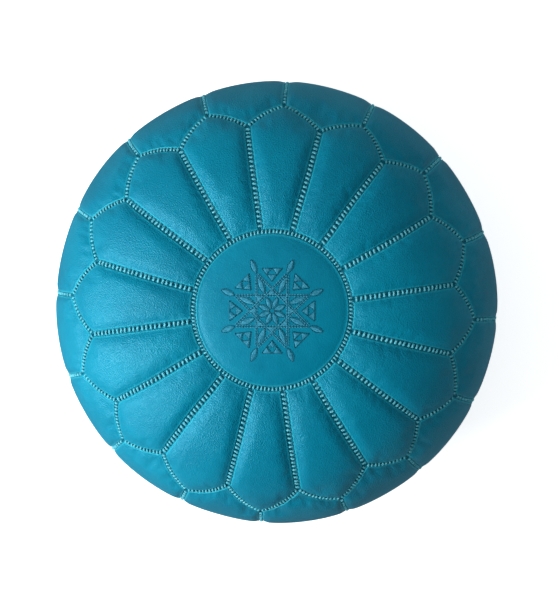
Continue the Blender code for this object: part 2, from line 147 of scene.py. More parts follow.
def cover(theta, arc, raised=0.0):
    """Points on the cover, and its outward normals. Its stuffing is lumpy, and its seams sway a little."""
    theta, arc = np.broadcast_arrays(np.asarray(theta, float), np.asarray(arc, float))
    out_r, out_z = np.interp(arc, ARC, NORMAL_R), np.interp(arc, ARC, NORMAL_Z)
    r, z = radius_at(arc), np.interp(arc, ARC, PROFILE_Z)
    swayed = theta + uneven(theta, arc, SWAY, SWAY_RISE, SWAY_FALL) / np.maximum(r, 0.02)
    out = np.asarray(raised) + uneven(theta, arc, LUMPS, LUMPS_RISE, LUMPS_FALL)
    away = np.stack([np.cos(swayed), np.sin(swayed)], -1)
    point = np.concatenate([away * (r + out * out_r)[..., None], (z + out * out_z)[..., None]], -1)
    normal = np.concatenate([away * out_r[..., None], out_z[..., None]], -1)
    return point, normal


def bell(theta, middle, width):
    """1 in the middle direction, falling smoothly to 0 away from it; all in degrees but theta."""
    away = (np.degrees(theta) - middle + 180) % 360 - 180
    return np.exp(-((away / width) ** 2))


def arch_arc(theta):
    """Arc length of the petals' outer edge in this direction."""
    u = np.abs((theta - FIRST_SEAM) / PITCH % 1 * 2 - 1)
    point = (1 - ARCH_ROUNDING) * (1 - u) + ARCH_ROUNDING * (1 - u * u)
    longer = sum(
        bell(theta, middle, width) * (all_along + at_point * point)
        for middle, width, all_along, at_point in LONGER_PETALS
    )
    return arc_above(CORNER_RADIUS + (TIP_RADIUS - CORNER_RADIUS) * point) + longer


RING_ARC = float(arc_above(FLAT_TOP_RADIUS))
BASE_ARC = float(arc_below(BASE_SEAM_RADIUS))


def channel(distance, half_width):
    """Height near a seam: the channel's floor, the folded edge, and the shoulder rolling down to it."""
    wall = smooth_step(distance, half_width - FOLD, half_width + FOLD)
    past = np.maximum(distance - half_width, 0)
    bead = EDGE_BEAD * np.exp(-(((past - BEAD_REACH) / BEAD_REACH) ** 2))
    return -CHANNEL_DEPTH * (1 - wall) + wall * (bead - SHOULDER * np.exp(-past / SHOULDER_REACH))


def seam_paint(inset, wear_and_highlight_at, wear_and_highlight_width):
    """What the leather's colour goes by, at this inset: 1 down in the channel, for painted shade, and 1 along
    the folded edge, for paler wear and a painted highlight.
    """
    # Painted shade: the leather down in the channel is darkened for the shade of the folded edges and the bars.
    painted_channel_shade = 1 - smooth_step(inset, -2 * FOLD, 0.2 * MM)
    # Wear and painted highlight: the folded edge is made paler, as where it catches the light.
    edge = np.exp(-(((inset - wear_and_highlight_at) / wear_and_highlight_width) ** 2))
    return {"painted_channel_shade": painted_channel_shade, "edge": edge}


# ---------------------------------------------------------------- mesh helpers
def new_object(name, points, faces, paint):
    """A smooth-shaded object. faces is a list of arrays, each of faces with the same number of corners."""
    mesh = bpy.data.meshes.new(name)
    points = np.asarray(points, np.float32).reshape(-1, 3)
    faces = [np.asarray(f, np.int32) for f in faces]
    sizes = np.concatenate([np.full(len(f), f.shape[1], np.int32) for f in faces])
    loops = np.concatenate([f.ravel() for f in faces])
    mesh.vertices.add(len(points))
    mesh.vertices.foreach_set("co", points.ravel())
    mesh.loops.add(len(loops))
    mesh.loops.foreach_set("vertex_index", loops)
    mesh.polygons.add(len(sizes))
    mesh.polygons.foreach_set("loop_start", np.concatenate([[0], np.cumsum(sizes)[:-1]]).astype(np.int32))
    mesh.update(calc_edges=True)
    mesh.validate()
    mesh.shade_smooth()
    if paint:
        mesh.materials.append(paint)
    made = bpy.data.objects.new(name, mesh)
    bpy.context.scene.collection.objects.link(made)
    return made


def point_value(made, name, values):
    layer = made.data.attributes.new(name, "FLOAT", "POINT")
    layer.data.foreach_set("value", np.asarray(values, np.float32).ravel())


def grid_quads(index, wrap=False):
    """Quads of a grid of vertex numbers; wrap joins the last column to the first."""
    if wrap:
        index = np.concatenate([index, index[:, :1]], 1)
    return np.stack([index[:-1, :-1], index[1:, :-1], index[1:, 1:], index[:-1, 1:]], -1).reshape(-1, 4)


def shell(name, top, inward, paint, values, thickness=LEATHER):
    """A leather panel as a closed body: its outer grid of points, the same grid further in, and a rim."""
    rows, columns = top.shape[:2]
    index = np.arange(rows * columns).reshape(rows, columns)
    under = index + rows * columns
    rim = np.concatenate([index[0], index[1:, -1], index[-1, -2::-1], index[-2:0:-1, 0]])
    rim = np.stack([rim, np.roll(rim, -1)], 0)
    sides = np.stack([rim[0], rim[1], rim[1] + rows * columns, rim[0] + rows * columns], -1)
    faces = [grid_quads(index), grid_quads(under)[:, ::-1], sides]
    points = np.concatenate([top.reshape(-1, 3), (top + inward * thickness).reshape(-1, 3)])
    made = new_object(name, points, faces, paint)
    for key, value in values.items():
        point_value(made, key, np.concatenate([value.ravel(), value.ravel()]))
    return made


def finish_piece(made, slot, *nodes):
    """Every new piece rides on the cover. Only the slider and its pull move, and those are CAD nodes."""
    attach(made, "cover")
    if nodes:
        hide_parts(*nodes)
    return made


def tubes(spine, side, up, wide, thick, sides=8):
    """Many short cords at once. spine, side and up are (cords, points, 3); wide and thick are radii."""
    count, length = spine.shape[:2]
    angle = np.arange(sides) * 2 * math.pi / sides
    wide = np.broadcast_to(wide, (count, length))[..., None, None]
    thick = np.broadcast_to(thick, (count, length))[..., None, None]
    ring = wide * side[:, :, None] * np.cos(angle)[:, None] + thick * up[:, :, None] * np.sin(angle)[:, None]
    points = spine[:, :, None] + ring
    index = np.arange(count * length * sides).reshape(count, length, sides)
    around = np.roll(index, -1, 2)
    walls = np.stack([index[:, :-1], around[:, :-1], around[:, 1:], index[:, 1:]], -1).reshape(-1, 4)
    caps = np.concatenate([index[:, 0, ::-1], index[:, -1]])
    return points.reshape(-1, 3), [walls, caps]


# ---------------------------------------------------------------- panels
PANEL_GAP = 0.12 * MM
EDGE_OFFSETS = np.array([-0.6, -0.36, -0.12, 0.12, 0.36, 0.7, 1.3, 2.4, 4.0]) * MM


def edge_steps(half_width):
    """Distances from a seam at which a panel's grid has a line: close together at the folded edge."""
    return np.concatenate([[PANEL_GAP, half_width * 0.5], half_width + EDGE_OFFSETS])


def panel_grid(middle, first_arc, last_arc, half_widths, columns, rows):
    """A panel's grid, half a pitch wide each way. first_arc(u) and last_arc(u) bound it, u from -1 to 1.

    Returns theta, arc, the place between the channels (u and v), and the distances to the side, first and
    last seams. Each pass moves the columns to their distance from the side seams at the last pass's arcs.
    """
    side_half, first_half, last_half = half_widths
    side_steps, first_steps, last_steps = (edge_steps(w) for w in half_widths)
    inner = np.arange(1, columns + 1) / columns
    across = np.arange(1, rows)[:, None] / rows
    shape = (len(first_steps) + rows - 1 + len(last_steps), 2 * (len(side_steps) + columns) - 1)
    u = np.broadcast_to(np.linspace(-1, 1, shape[1]), shape).copy()
    small = 1e-3
    for _ in range(6):
        first, last = first_arc(u), last_arc(u)
        half = radius_at((first + last) / 2) * PITCH / 2
        off = np.where(u < 0, -1, 1) * np.clip(np.abs(u), 2 * small, 1 - 2 * small)
        first_slant = np.cos(np.arctan2(first_arc(off + small) - first_arc(off - small), 2 * small * half))
        last_slant = np.cos(np.arctan2(last_arc(off + small) - last_arc(off - small), 2 * small * half))
        head = first[: len(first_steps)] + first_steps[:, None] / first_slant[: len(first_steps)]
        tail = last[-len(last_steps) :] - last_steps[::-1, None] / last_slant[-len(last_steps) :]
        body = head[-1:] + (tail[:1] - head[-1:]) * across
        arc = np.concatenate([head, body, tail])
        half = radius_at(arc) * PITCH / 2
        left_half = half[:, : len(side_steps) + columns]
        steps = np.broadcast_to(side_steps, (shape[0], len(side_steps)))
        inner_steps = side_steps[-1] + (left_half[:, len(side_steps) :] - side_steps[-1]) * inner
        left = np.concatenate([steps, inner_steps], 1) / left_half - 1
        u = np.concatenate([left, -left[:, -2::-1]], 1)
    side_distance = half * (1 - np.abs(u))
    inner_first, inner_last = first + first_half / first_slant, last - last_half / last_slant
    v = np.clip((arc - inner_first) / (inner_last - inner_first), 0, 1)
    su = np.clip(u * half / (half - side_half), -1, 1)
    first_distance, last_distance = (arc - first) * first_slant, (last - arc) * last_slant
    return middle + u * PITCH / 2, arc, su, v, side_distance, first_distance, last_distance


def sample(field, u, v):
    """Smooth (Catmull-Rom) lookup of a (rows, columns, 3) field at u, v from 0 to 1."""

    def weights(t):
        before = -0.5 * t + t * t - 0.5 * t**3
        here = 1 - 2.5 * t * t + 1.5 * t**3
        after = 0.5 * t + 2 * t * t - 1.5 * t**3
        beyond = -0.5 * t * t + 0.5 * t**3
        return np.stack([before, here, after, beyond], -1)

    rows, columns = field.shape[:2]
    x, y = np.clip(u, 0, 1) * (columns - 1), np.clip(v, 0, 1) * (rows - 1)
    ix, iy = np.minimum(x.astype(int), columns - 2), np.minimum(y.astype(int), rows - 2)
    wx, wy = weights(x - ix), weights(y - iy)
    total = 0
    for j in range(4):
        for i in range(4):
            picked = field[np.clip(iy + j - 1, 0, rows - 1), np.clip(ix + i - 1, 0, columns - 1)]
            total = total + picked * (wy[..., j] * wx[..., i])[..., None]
    return total


CREASE_HEIGHT = 0.42 * MM
CREASE_START = 2 * MM
CREASE_REACH = 13 * MM
PUCKER_HEIGHT = 0.13 * MM
PUCKER_REACH = 4.5 * MM


def creases(u, distance, seed):
    """Longer folds that run in from a panel's pointed seam, a few of them on each panel."""
    folds = np.sin(19 * u + seed) * np.sin(2.3 * u + 2 * seed) + 0.7 * np.sin(31 * u + 1.7 * seed)
    return CREASE_HEIGHT * folds * (1 - u**2) * np.exp(-np.maximum(distance - CREASE_START, 0) / CREASE_REACH)


def pillow(insets):
    """How full a panel stands: 0 at its folded edges, nearly 1 a little further in."""
    return np.prod([1 - np.exp(-np.maximum(inset, 0) / PILLOW_REACH) for inset in insets], axis=0)


def pucker(along, distance, seed):
    """Fine ripples where the stitches gather the leather, dying away from the seam."""
    ripple = np.sin(along * 950 + seed) + 0.8 * np.sin(along * 1430 + 2.1 * seed)
    rising = smooth_step(distance, 0, 1.5 * MM)
    return PUCKER_HEIGHT * ripple * rising * np.exp(-np.maximum(distance, 0) / PUCKER_REACH)


# The cloth that the panels are blown up as. A negative shrink_min cuts it too large.
SIM_FRAMES = 20
CLOTH = {
    "quality": 6,
    "mass": 0.3,
    "tension_stiffness": 25,
    "compression_stiffness": 25,
    "shear_stiffness": 10,
    "bending_stiffness": 1.0,
    "air_damping": 6,
    "shrink_min": -0.014,
    "use_pressure": True,
    "uniform_pressure_force": 4.0,
}

# What all panels of a kind share. halves are the half widths of the side, first and last seams. grid and sim
# are the columns and rows of the fine grid and of the cloth. fullness is the share of the cloth's swelling
# that is kept, and fullness_at_first is what the first seam's end adds. crown and pillow raise the middle.
PETAL = {
    "halves": (SPOKE_HALF, RING_HALF, ARCH_HALF),
    "grid": (12, 44),
    "sim": (30, 44),
    "fullness": 1.0,
    "fullness_at_first": -0.5,
    "crown": 1.2 * MM,
    "pillow": 1.6 * MM,
    "pointed_seam": "last",
}
SIDE = {
    "halves": (SIDE_HALF, ARCH_HALF, BASE_HALF),
    "grid": (14, 84),
    "sim": (30, 74),
    "fullness": 0.45,
    "fullness_at_first": 0.9,
    "crown": 0.0,
    "pillow": 0.3 * MM,
    "pointed_seam": "first",
}
FIRST_END = 0.18


def ring_seam(u):
    return RING_ARC + 0 * u


def base_seam(u):
    return BASE_ARC + 0 * u


def arch_seam(middle):
    """The pointed seam over a panel with this middle direction, as a function of u."""
    return lambda u: arch_arc(middle + u * PITCH / 2)


def panel_kinds():
    """Every panel of the cover: its name, CAD node, middle direction and bounds, and what its kind shares."""
    kinds = []
    for n in range(PETALS):
        middle = FIRST_SEAM + (n + 0.5) * PITCH
        own = {"name": f"petal_leather_{n + 1:02d}", "node": f"petal_{n + 1:02d}"}
        kinds.append({**PETAL, **own, "middle": middle, "first": ring_seam, "last": arch_seam(middle)})
    for n in range(PETALS):
        middle = FIRST_SEAM + n * PITCH
        own = {"name": f"side_leather_{n + 1:02d}", "node": f"side_panel_{n + 1:02d}"}
        kinds.append({**SIDE, **own, "middle": middle, "first": arch_seam(middle), "last": base_seam})
    return kinds


def sim_grid(kind):
    """The panel on the bare cover, as the cloth starts: points and normals."""
    columns, rows = kind["sim"]
    u, v = np.meshgrid(np.linspace(-1, 1, columns), np.linspace(0, 1, rows))
    first, last = kind["first"](u), kind["last"](u)
    return cover(kind["middle"] + u * PITCH / 2, first + (last - first) * v)


def simulate(kinds):
    """Blows up all the panels as one cloth, each pinned along its seams and cut a little too large."""
    grids = [sim_grid(kind)[0] for kind in kinds]
    points, faces, pinned, base = [], [], [], 0
    for grid in grids:
        index = np.arange(grid[..., 0].size).reshape(grid.shape[:2]) + base
        rim = np.ones(index.shape, bool)
        rim[1:-1, 1:-1] = False
        points.append(grid.reshape(-1, 3))
        faces.append(grid_quads(index))
        pinned.append(index[rim])
        base += index.size
    cloth = new_object("panels_as_cloth", np.concatenate(points), faces, None)
    group = cloth.vertex_groups.new(name="seams")
    group.add([int(i) for i in np.concatenate(pinned)], 1.0, "REPLACE")
    modifier = cloth.modifiers.new("cloth", "CLOTH")
    for key, value in CLOTH.items():
        setattr(modifier.settings, key, value)
    modifier.settings.vertex_group_mass = group.name
    modifier.settings.effector_weights.gravity = 0
    modifier.collision_settings.use_collision = False
    scene = bpy.context.scene
    for step in range(1, SIM_FRAMES + 1):
        scene.frame_set(step)
    settled = cloth.evaluated_get(bpy.context.evaluated_depsgraph_get()).data
    after = np.zeros(base * 3, np.float32)
    settled.vertices.foreach_get("co", after)
    after = after.reshape(-1, 3)
    scene.frame_set(1)
    bpy.data.objects.remove(cloth)
    moved, start = [], 0
    for grid in grids:
        size = grid[..., 0].size
        moved.append(after[start : start + size].reshape(grid.shape) - grid)
        start += size
    return moved


def swellings(kinds):
    """How far each panel's points move from the bare cover: (rows, columns, 3) for each panel."""
    return simulate(kinds)


def make_panel(kind, swelling, paint, seed):
    theta, arc, su, sv, side, first, last = panel_grid(
        kind["middle"], kind["first"], kind["last"], kind["halves"], *kind["grid"]
    )
    distances = (side, first, last)
    insets = [distance - half for distance, half in zip(distances, kind["halves"])]
    nearest = np.minimum.reduce(insets)
    height = np.minimum.reduce([channel(distance, half) for distance, half in zip(distances, kind["halves"])])
    height = height + kind["pillow"] * pillow(insets)
    height = height + pucker(arc + theta, nearest, seed)
    pointed = first if kind["pointed_seam"] == "first" else last
    height = height + creases(su, pointed, seed) * smooth_step(nearest, 0, 3 * MM)
    points, normal = cover(theta, arc, height)
    crown = kind["crown"] * (1 - su**2) * np.sin(math.pi * sv**1.5)
    fullness = kind["fullness"] + kind["fullness_at_first"] * np.exp(-((sv / FIRST_END) ** 2))
    points = points + sample(swelling, (su + 1) / 2, sv) * fullness[..., None] + normal * crown[..., None]
    made = shell(kind["name"], points, -normal, paint, seam_paint(nearest, WEAR_AND_HIGHLIGHT_AT, WEAR_AND_HIGHLIGHT_WIDTH))
    return finish_piece(made, "leather", kind["node"])


# ---------------------------------------------------------------- medallion and base
DOME = 8.5 * MM
DOME_POWER = 0.85
GATHER_HEIGHT = 0.10 * MM
GATHER_RADIUS = 0.062
GATHER_WIDTH = 0.010


def medallion_height(x, y):
    """Height of the medallion's leather: a low dome on the flat top, gathered a little at each petal seam."""
    r = np.hypot(x, y)
    share = np.clip(1 - (r / (FLAT_TOP_RADIUS - RING_HALF)) ** 2, 0, 1)
    gathers = np.sin(PETALS * np.arctan2(y, x) + 0.6) * np.exp(-(((r - GATHER_RADIUS) / GATHER_WIDTH) ** 2))
    return HEIGHT + DOME * share**DOME_POWER + GATHER_HEIGHT * gathers


def make_medallion(paint, turns=288, rings=34):
    steps = edge_steps(RING_HALF)
    inner = np.linspace(0, FLAT_TOP_RADIUS - steps[-1], rings)[1:-1]
    radii = np.concatenate([inner, FLAT_TOP_RADIUS - steps[::-1]])
    angle = np.arange(turns) * 2 * math.pi / turns
    r, a = np.meshgrid(radii, angle, indexing="ij")
    x, y = r * np.cos(a), r * np.sin(a)
    distance = FLAT_TOP_RADIUS - r
    past = distance - RING_HALF
    z = medallion_height(x, y) + channel(distance, RING_HALF) + pucker(a * FLAT_TOP_RADIUS, past, 3.0)
    top = np.stack([x, y, z], -1)
    under = top - np.array([0, 0, LEATHER])
    centre_z = float(medallion_height(0, 0))
    centre = np.array([[0, 0, centre_z], [0, 0, centre_z - LEATHER]])
    points = np.concatenate([top.reshape(-1, 3), under.reshape(-1, 3), centre])
    index = np.arange(r.size).reshape(r.shape)
    first, second = index[0], np.roll(index[0], -1)
    fan = np.stack([np.full(turns, 2 * r.size), first, second], -1)
    fan_under = np.stack([np.full(turns, 2 * r.size + 1), second + r.size, first + r.size], -1)
    last, after = index[-1], np.roll(index[-1], -1)
    rim = np.stack([last, last + r.size, after + r.size, after], -1)
    quads = [grid_quads(index, True), grid_quads(index + r.size, True)[:, ::-1], rim]
    made = new_object("medallion_leather", points, [*quads, fan, fan_under], paint)
    for key, value in seam_paint(past, 0, WEAR_AND_HIGHLIGHT_WIDTH_FLAT).items():
        point_value(made, key, np.concatenate([value.ravel(), value.ravel(), [0, 0]]))
    finish_piece(made, "leather", "medallion")


# ---------------------------------------------------------------- stitches
# Ladder stitching, as (half the seam's width, distance between bars, the thread's radius)
RING_STITCH = (RING_HALF, 4.0 * MM, 1.15 * MM)
SPOKE_STITCH = (SPOKE_HALF, 4.9 * MM, 1.42 * MM)
ARCH_STITCH = (ARCH_HALF, 4.2 * MM, 1.3 * MM)
SIDE_STITCH = (SIDE_HALF, 7.2 * MM, 1.6 * MM)
BASE_STITCH = (BASE_HALF, 4.6 * MM, 1.15 * MM)
SIDE_SUNK = 0.3 * MM
# How far from each end of a seam its bars stop
SPOKE_ENDS = (RING_HALF + 1.5 * MM, 1.5 * MM)
ARCH_ENDS = (1.2 * MM, 1.2 * MM)
SIDE_ENDS = (ARCH_HALF + 1 * MM, BASE_HALF + 1 * MM)
BAR_POINTS = 9
BAR_INSET = 0.25 * MM
BAR_DEPTH = 0.6 * MM
BAR_DIVE = 1.2 * MM
BAR_SLANT = 0.16
SEAM_POINTS = 400


def unit(vectors):
    return vectors / np.linalg.norm(vectors, axis=-1)[..., None]


def seam_bars(theta, arc, stitch, ends, seed, channel_shade_share=0.0):
    """Thread bars across a seam that runs through these points of the cover."""
    half_width, pitch, thread = stitch
    start, end = ends
    rng = np.random.default_rng(seed)
    path, normal = cover(theta, arc)
    run = np.concatenate([[0], np.cumsum(np.linalg.norm(np.diff(path, axis=0), axis=1))])

    def along_seam(values, places):
        return np.stack([np.interp(places, run, values[:, k]) for k in range(3)], -1)

    count = max(int((run[-1] - start - end) / pitch), 1)
    at = start + (run[-1] - start - end) * (np.arange(count) + 0.5) / count
    at = at + rng.uniform(-0.08, 0.08, count) * pitch
    centre, up = along_seam(path, at), along_seam(normal, at)
    along = unit(along_seam(path, at + 1 * MM) - along_seam(path, at - 1 * MM))
    across = unit(np.cross(up, along))
    slant = rng.normal(BAR_SLANT, 0.07, count)[:, None]
    direction = across * np.cos(slant) + along * np.sin(slant)
    reach = (half_width - BAR_INSET) * rng.uniform(0.94, 1.06, count)
    t = np.linspace(-1, 1, BAR_POINTS)
    height = -BAR_DEPTH - BAR_DIVE * np.abs(t) ** 4 - channel_shade_share
    spine = centre[:, None] + direction[:, None] * (reach[:, None] * t)[..., None]
    spine = spine + up[:, None] * height[:, None]
    side = np.broadcast_to(np.cross(direction, up)[:, None], spine.shape)
    lift = np.broadcast_to(up[:, None], spine.shape)
    twist = (t * 2.4)[None, :, None] + rng.uniform(0, 3, count)[:, None, None]
    twisted_side = side * np.cos(twist) + lift * np.sin(twist)
    twisted_up = lift * np.cos(twist) - side * np.sin(twist)
    fat = thread * rng.uniform(0.92, 1.08, count)[:, None] * (1 - 0.45 * np.abs(t) ** 5)
    return tubes(spine, twisted_side, twisted_up, fat * 1.08, fat * 0.88)


def join_parts(parts):
    """Several (points, faces) lists as one."""
    points, faces, base = [], [], 0
    for part_points, part_faces in parts:
        points.append(part_points)
        faces += [f + base for f in part_faces]
        base += len(part_points)
    return np.concatenate(points), faces


def sew(name, node, paint, seams):
    made = new_object(name, *join_parts(seams), paint)
    finish_piece(made, "thread", node)


def make_stitches(paint):
    """All the cover's ladder stitching, with one piece for each kind of seam."""
    share = np.linspace(0, 1, SEAM_POINTS)
    all_round = FIRST_SEAM + 2 * math.pi * share
    spokes, arches, sides = [], [], []
    for n in range(PETALS):
        seam, tip = FIRST_SEAM + n * PITCH, FIRST_SEAM + (n + 0.5) * PITCH
        down_seam = RING_ARC + (arch_arc(seam) - RING_ARC) * share
        spokes.append(seam_bars(seam + 0 * share, down_seam, SPOKE_STITCH, SPOKE_ENDS, 20 + n))
        for way in (-1, 1):
            theta = tip + way * share * PITCH / 2
            arches.append(seam_bars(theta, arch_arc(theta), ARCH_STITCH, ARCH_ENDS, 60 + 2 * n + way))
        down_side = arch_arc(tip) + (BASE_ARC - arch_arc(tip)) * share
        sides.append(seam_bars(tip + 0 * share, down_side, SIDE_STITCH, SIDE_ENDS, 120 + n, SIDE_SUNK))
    ring = seam_bars(all_round, RING_ARC + 0 * share, RING_STITCH, (0, 0), 11)
    base = seam_bars(all_round, BASE_ARC + 0 * share, BASE_STITCH, (0, 0), 12)
    sew("medallion_stitches", "petal_seam_thread", paint, [ring])
    sew("petal_stitches", "petal_seam_thread", paint, spokes)
    sew("arch_stitches", "side_seam_thread", paint, arches)
    sew("side_stitches", "side_seam_thread", paint, sides)
    sew("base_stitches", "base_seam_thread", paint, [base])


# ---------------------------------------------------------------- embroidery
STAR_SYMMETRY = 8
STAR_RADIUS = 43 * MM
LINE_HALF_SPACING = 0.9 * MM
LINE_STITCH = 2.9 * MM
LINE_STITCH_GAP = 0.3 * MM
SATIN_SPACING = 0.62 * MM
SHORTEST_SATIN = 0.6 * MM
SILK = 0.34 * MM
SILK_LIFT = 0.42 * MM
STRAND_DIVE = 0.5 * MM
# Leaves, as (near end, far end, width, satin's slant in degrees, outline's width)
LEAVES = (
    (43 * MM, 58 * MM, 5.2 * MM, 62, 6.6 * MM),
    (20 * MM, 38 * MM, 5.6 * MM, 55, 7.0 * MM),
    (2.6 * MM, 15 * MM, 4.8 * MM, 60, 6.0 * MM),
)
OUTLINE_OVERRUN = 0.6 * MM
# Triangles between the star's points, each of three small ones, and those inside the star
TRIANGLE = ((31 * MM, 0.0), (45 * MM, 11 * MM), (45 * MM, -11 * MM))
INNER_TRIANGLE = ((23.5 * MM, 0.0), (17.5 * MM, 5.2 * MM), (17.5 * MM, -5.2 * MM))
TRIANGLE_FILL = 0.86


def strands(starts, ends, radius, lift):
    """Threads lying on the medallion from each start to each end (x, y), their ends drawn into it."""
    starts, ends = np.asarray(starts, float), np.asarray(ends, float)
    t = np.linspace(0, 1, 7)
    flat = starts[:, None] + (ends - starts)[:, None] * t[:, None]
    z = medallion_height(flat[..., 0], flat[..., 1]) + lift
    z = z - (lift + STRAND_DIVE) * np.abs(2 * t - 1) ** 6
    spine = np.concatenate([flat, z[..., None]], -1)
    along = unit(ends - starts)
    side = np.stack([-along[:, 1], along[:, 0], 0 * along[:, 0]], -1)
    side = np.broadcast_to(side[:, None], spine.shape)
    up = np.broadcast_to([0.0, 0.0, 1.0], spine.shape)
    return tubes(spine, side, up, radius * 1.1, radius * 0.85, sides=6)


def satin(outline, direction):
    """Parallel threads that fill a convex outline: their starts and ends."""
    outline = np.asarray(outline, float)
    along = np.array([math.cos(direction), math.sin(direction)])
    across = np.array([-along[1], along[0]])
    offset = outline @ across
    count = int((offset.max() - offset.min()) / SATIN_SPACING)
    starts, ends = [], []
    for level in offset.min() + (np.arange(count) + 0.5) * (offset.max() - offset.min()) / count:
        cuts = []
        for k in range(len(outline)):
            one, two = outline[k - 1], outline[k]
            a, b = offset[k - 1] - level, offset[k] - level
            if a * b < 0:
                cuts.append(one + (two - one) * a / (a - b))
        cuts.sort(key=lambda p: p @ along)
        if len(cuts) == 2 and np.linalg.norm(cuts[1] - cuts[0]) > SHORTEST_SATIN:
            starts.append(cuts[0])
            ends.append(cuts[1])
    return np.array(starts), np.array(ends)


def leaf(near, far, width, points=9):
    """A pointed leaf along +X from near to far."""
    t = np.linspace(0, 1, points)
    half = width / 2 * np.sin(math.pi * t) ** 0.85
    x = near + (far - near) * t
    upper = np.stack([x, half], -1)
    lower = np.stack([x, -half], -1)[-2:0:-1]
    return np.concatenate([upper, lower])


def turned(points, angle):
    c, s = math.cos(angle), math.sin(angle)
    return np.asarray(points) @ np.array([[c, s], [-s, c]])


def star_repeats(starts, ends, first_angle):
    """The same threads at every eighth of a turn."""
    angles = [first_angle + k * 2 * math.pi / STAR_SYMMETRY for k in range(STAR_SYMMETRY)]
    return [np.concatenate([turned(points, a) for a in angles]) for points in (starts, ends)]


def star_lines(offsets=(-LINE_HALF_SPACING, LINE_HALF_SPACING)):
    """Rows of back stitches along each line of the eight-pointed star."""
    half_step = math.pi / STAR_SYMMETRY
    starts, ends = [], []
    distance = STAR_RADIUS * math.cos(3 * half_step)
    reach = STAR_RADIUS * math.sin(3 * half_step) - 1.5 * MM
    count = int(2 * reach / LINE_STITCH)
    edges = np.linspace(-reach, reach, count + 1)
    for offset in offsets:
        x = np.full(count, distance + offset)
        starts.append(np.stack([x, edges[:-1] + LINE_STITCH_GAP / 2], -1))
        ends.append(np.stack([x, edges[1:] - LINE_STITCH_GAP / 2], -1))
    return star_repeats(np.concatenate(starts), np.concatenate(ends), 0.0)


def outline_stitches(corners, stitch=2.2 * MM):
    """Back stitches round an outline."""
    starts, ends = [], []
    for k in range(len(corners)):
        one, two = np.asarray(corners[k - 1], float), np.asarray(corners[k], float)
        count = max(int(np.linalg.norm(two - one) / stitch), 1)
        t = np.arange(count)[:, None]
        starts.append(one + (two - one) * (t + 0.06) / count)
        ends.append(one + (two - one) * (t + 0.94) / count)
    return np.concatenate(starts), np.concatenate(ends)


def corner_triangles(apex, left, right):
    """The three triangles in the corners of one, with a bare one between them."""
    sides = ((apex, left), (left, right), (right, apex))
    one, two, three = ((np.array(a) + np.array(b)) / 2 for a, b in sides)
    return [(apex, one, three), (left, two, one), (right, three, two)]


def embroider(name, parts, paint):
    made = new_object(name, *join_parts(parts), paint)
    finish_piece(made, "embroidery", "star_embroidery")


def make_embroidery(paint, shade):
    """The star: rows of back stitch along its lines, filled leaves and triangles, and outlines in dark silk,
    the dark being painted shade round the motifs and along the doubled lines.
    """
    point_angle = math.pi / STAR_SYMMETRY
    corners = corner_triangles(*TRIANGLE)
    embroider("embroidered_star_lines", [strands(*star_lines(), SILK * 1.2, SILK_LIFT)], paint)

    leaves, leaf_outlines = [], []
    for near, far, width, slant, outline_width in LEAVES:
        filled = satin(leaf(near, far, width), math.radians(slant))
        leaves.append(strands(*star_repeats(*filled, point_angle), SILK, SILK_LIFT))
        grown = leaf(near - OUTLINE_OVERRUN, far + OUTLINE_OVERRUN, outline_width)
        around = outline_stitches(grown, 1.6 * MM)
        leaf_outlines.append(strands(*star_repeats(*around, point_angle), SILK, 0.28 * MM))
    embroider("embroidered_leaves", leaves, paint)

    filled = [np.mean(c, axis=0) * (1 - TRIANGLE_FILL) + np.array(c) * TRIANGLE_FILL for c in corners]
    triangles = [satin(shape, math.pi / 2) for shape in [*filled, INNER_TRIANGLE]]
    parts = [strands(*star_repeats(*threads, 0.0), SILK, SILK_LIFT) for threads in triangles]
    embroider("embroidered_triangles", parts, paint)

    # Painted shade: outlines in dark silk round the triangles and leaves, and down the middle of the star's
    # doubled lines, stand for the shade round the raised stitching.
    outlines = [outline_stitches(shape) for shape in [TRIANGLE, INNER_TRIANGLE, *corners]]
    parts = [strands(*star_repeats(*outline, 0.0), SILK, 0.30 * MM) for outline in outlines]
    middle_lines = strands(*star_lines(offsets=(0.0,)), SILK * 1.1, 0.20 * MM)
    embroider("embroidered_outlines", [*parts, *leaf_outlines, middle_lines], shade)


# ---------------------------------------------------------------- base and zipper
PLACKET_HALF_WIDTH = 9 * MM
PLACKET_FULL_LENGTH = 0.256
PLACKET_LENGTH = 0.300
LIP_ROLL = 11 * MM
LIP_HEIGHT = 9.2 * MM
SEAM_LIP_HEIGHT = 2 * MM
CLOSED_GAP = 0.3 * MM
BASE_WAVE = 0.25 * MM
BASE_WAVE_RISE = 20 * MM
# Rows of a base half's grid: close together over the rolled lip, even in between, and close at the rim's seam
LIP_STEPS = np.array([0, 0.15, 0.5, 1.0, 1.8, 3.0, 4.5, 6.5, 8.5, 11.0])[:, None] * MM
LIP_SHARE = 0.3
LIP_ROOM = (0.02, 0.05)
RIM_SHARE = 0.5
LEAST_SLOPE = 0.35
BASE_ROWS = 48
BASE_INSET = 8 * MM


def placket(x):
    """1 where the placket is fully open, 0 past its ends."""
    return 1 - smooth_step(np.abs(x), PLACKET_FULL_LENGTH / 2, PLACKET_LENGTH / 2)


def placket_edge(x):
    """How far the base's edge is from the middle line."""
    return CLOSED_GAP + (PLACKET_HALF_WIDTH - CLOSED_GAP) * placket(x)


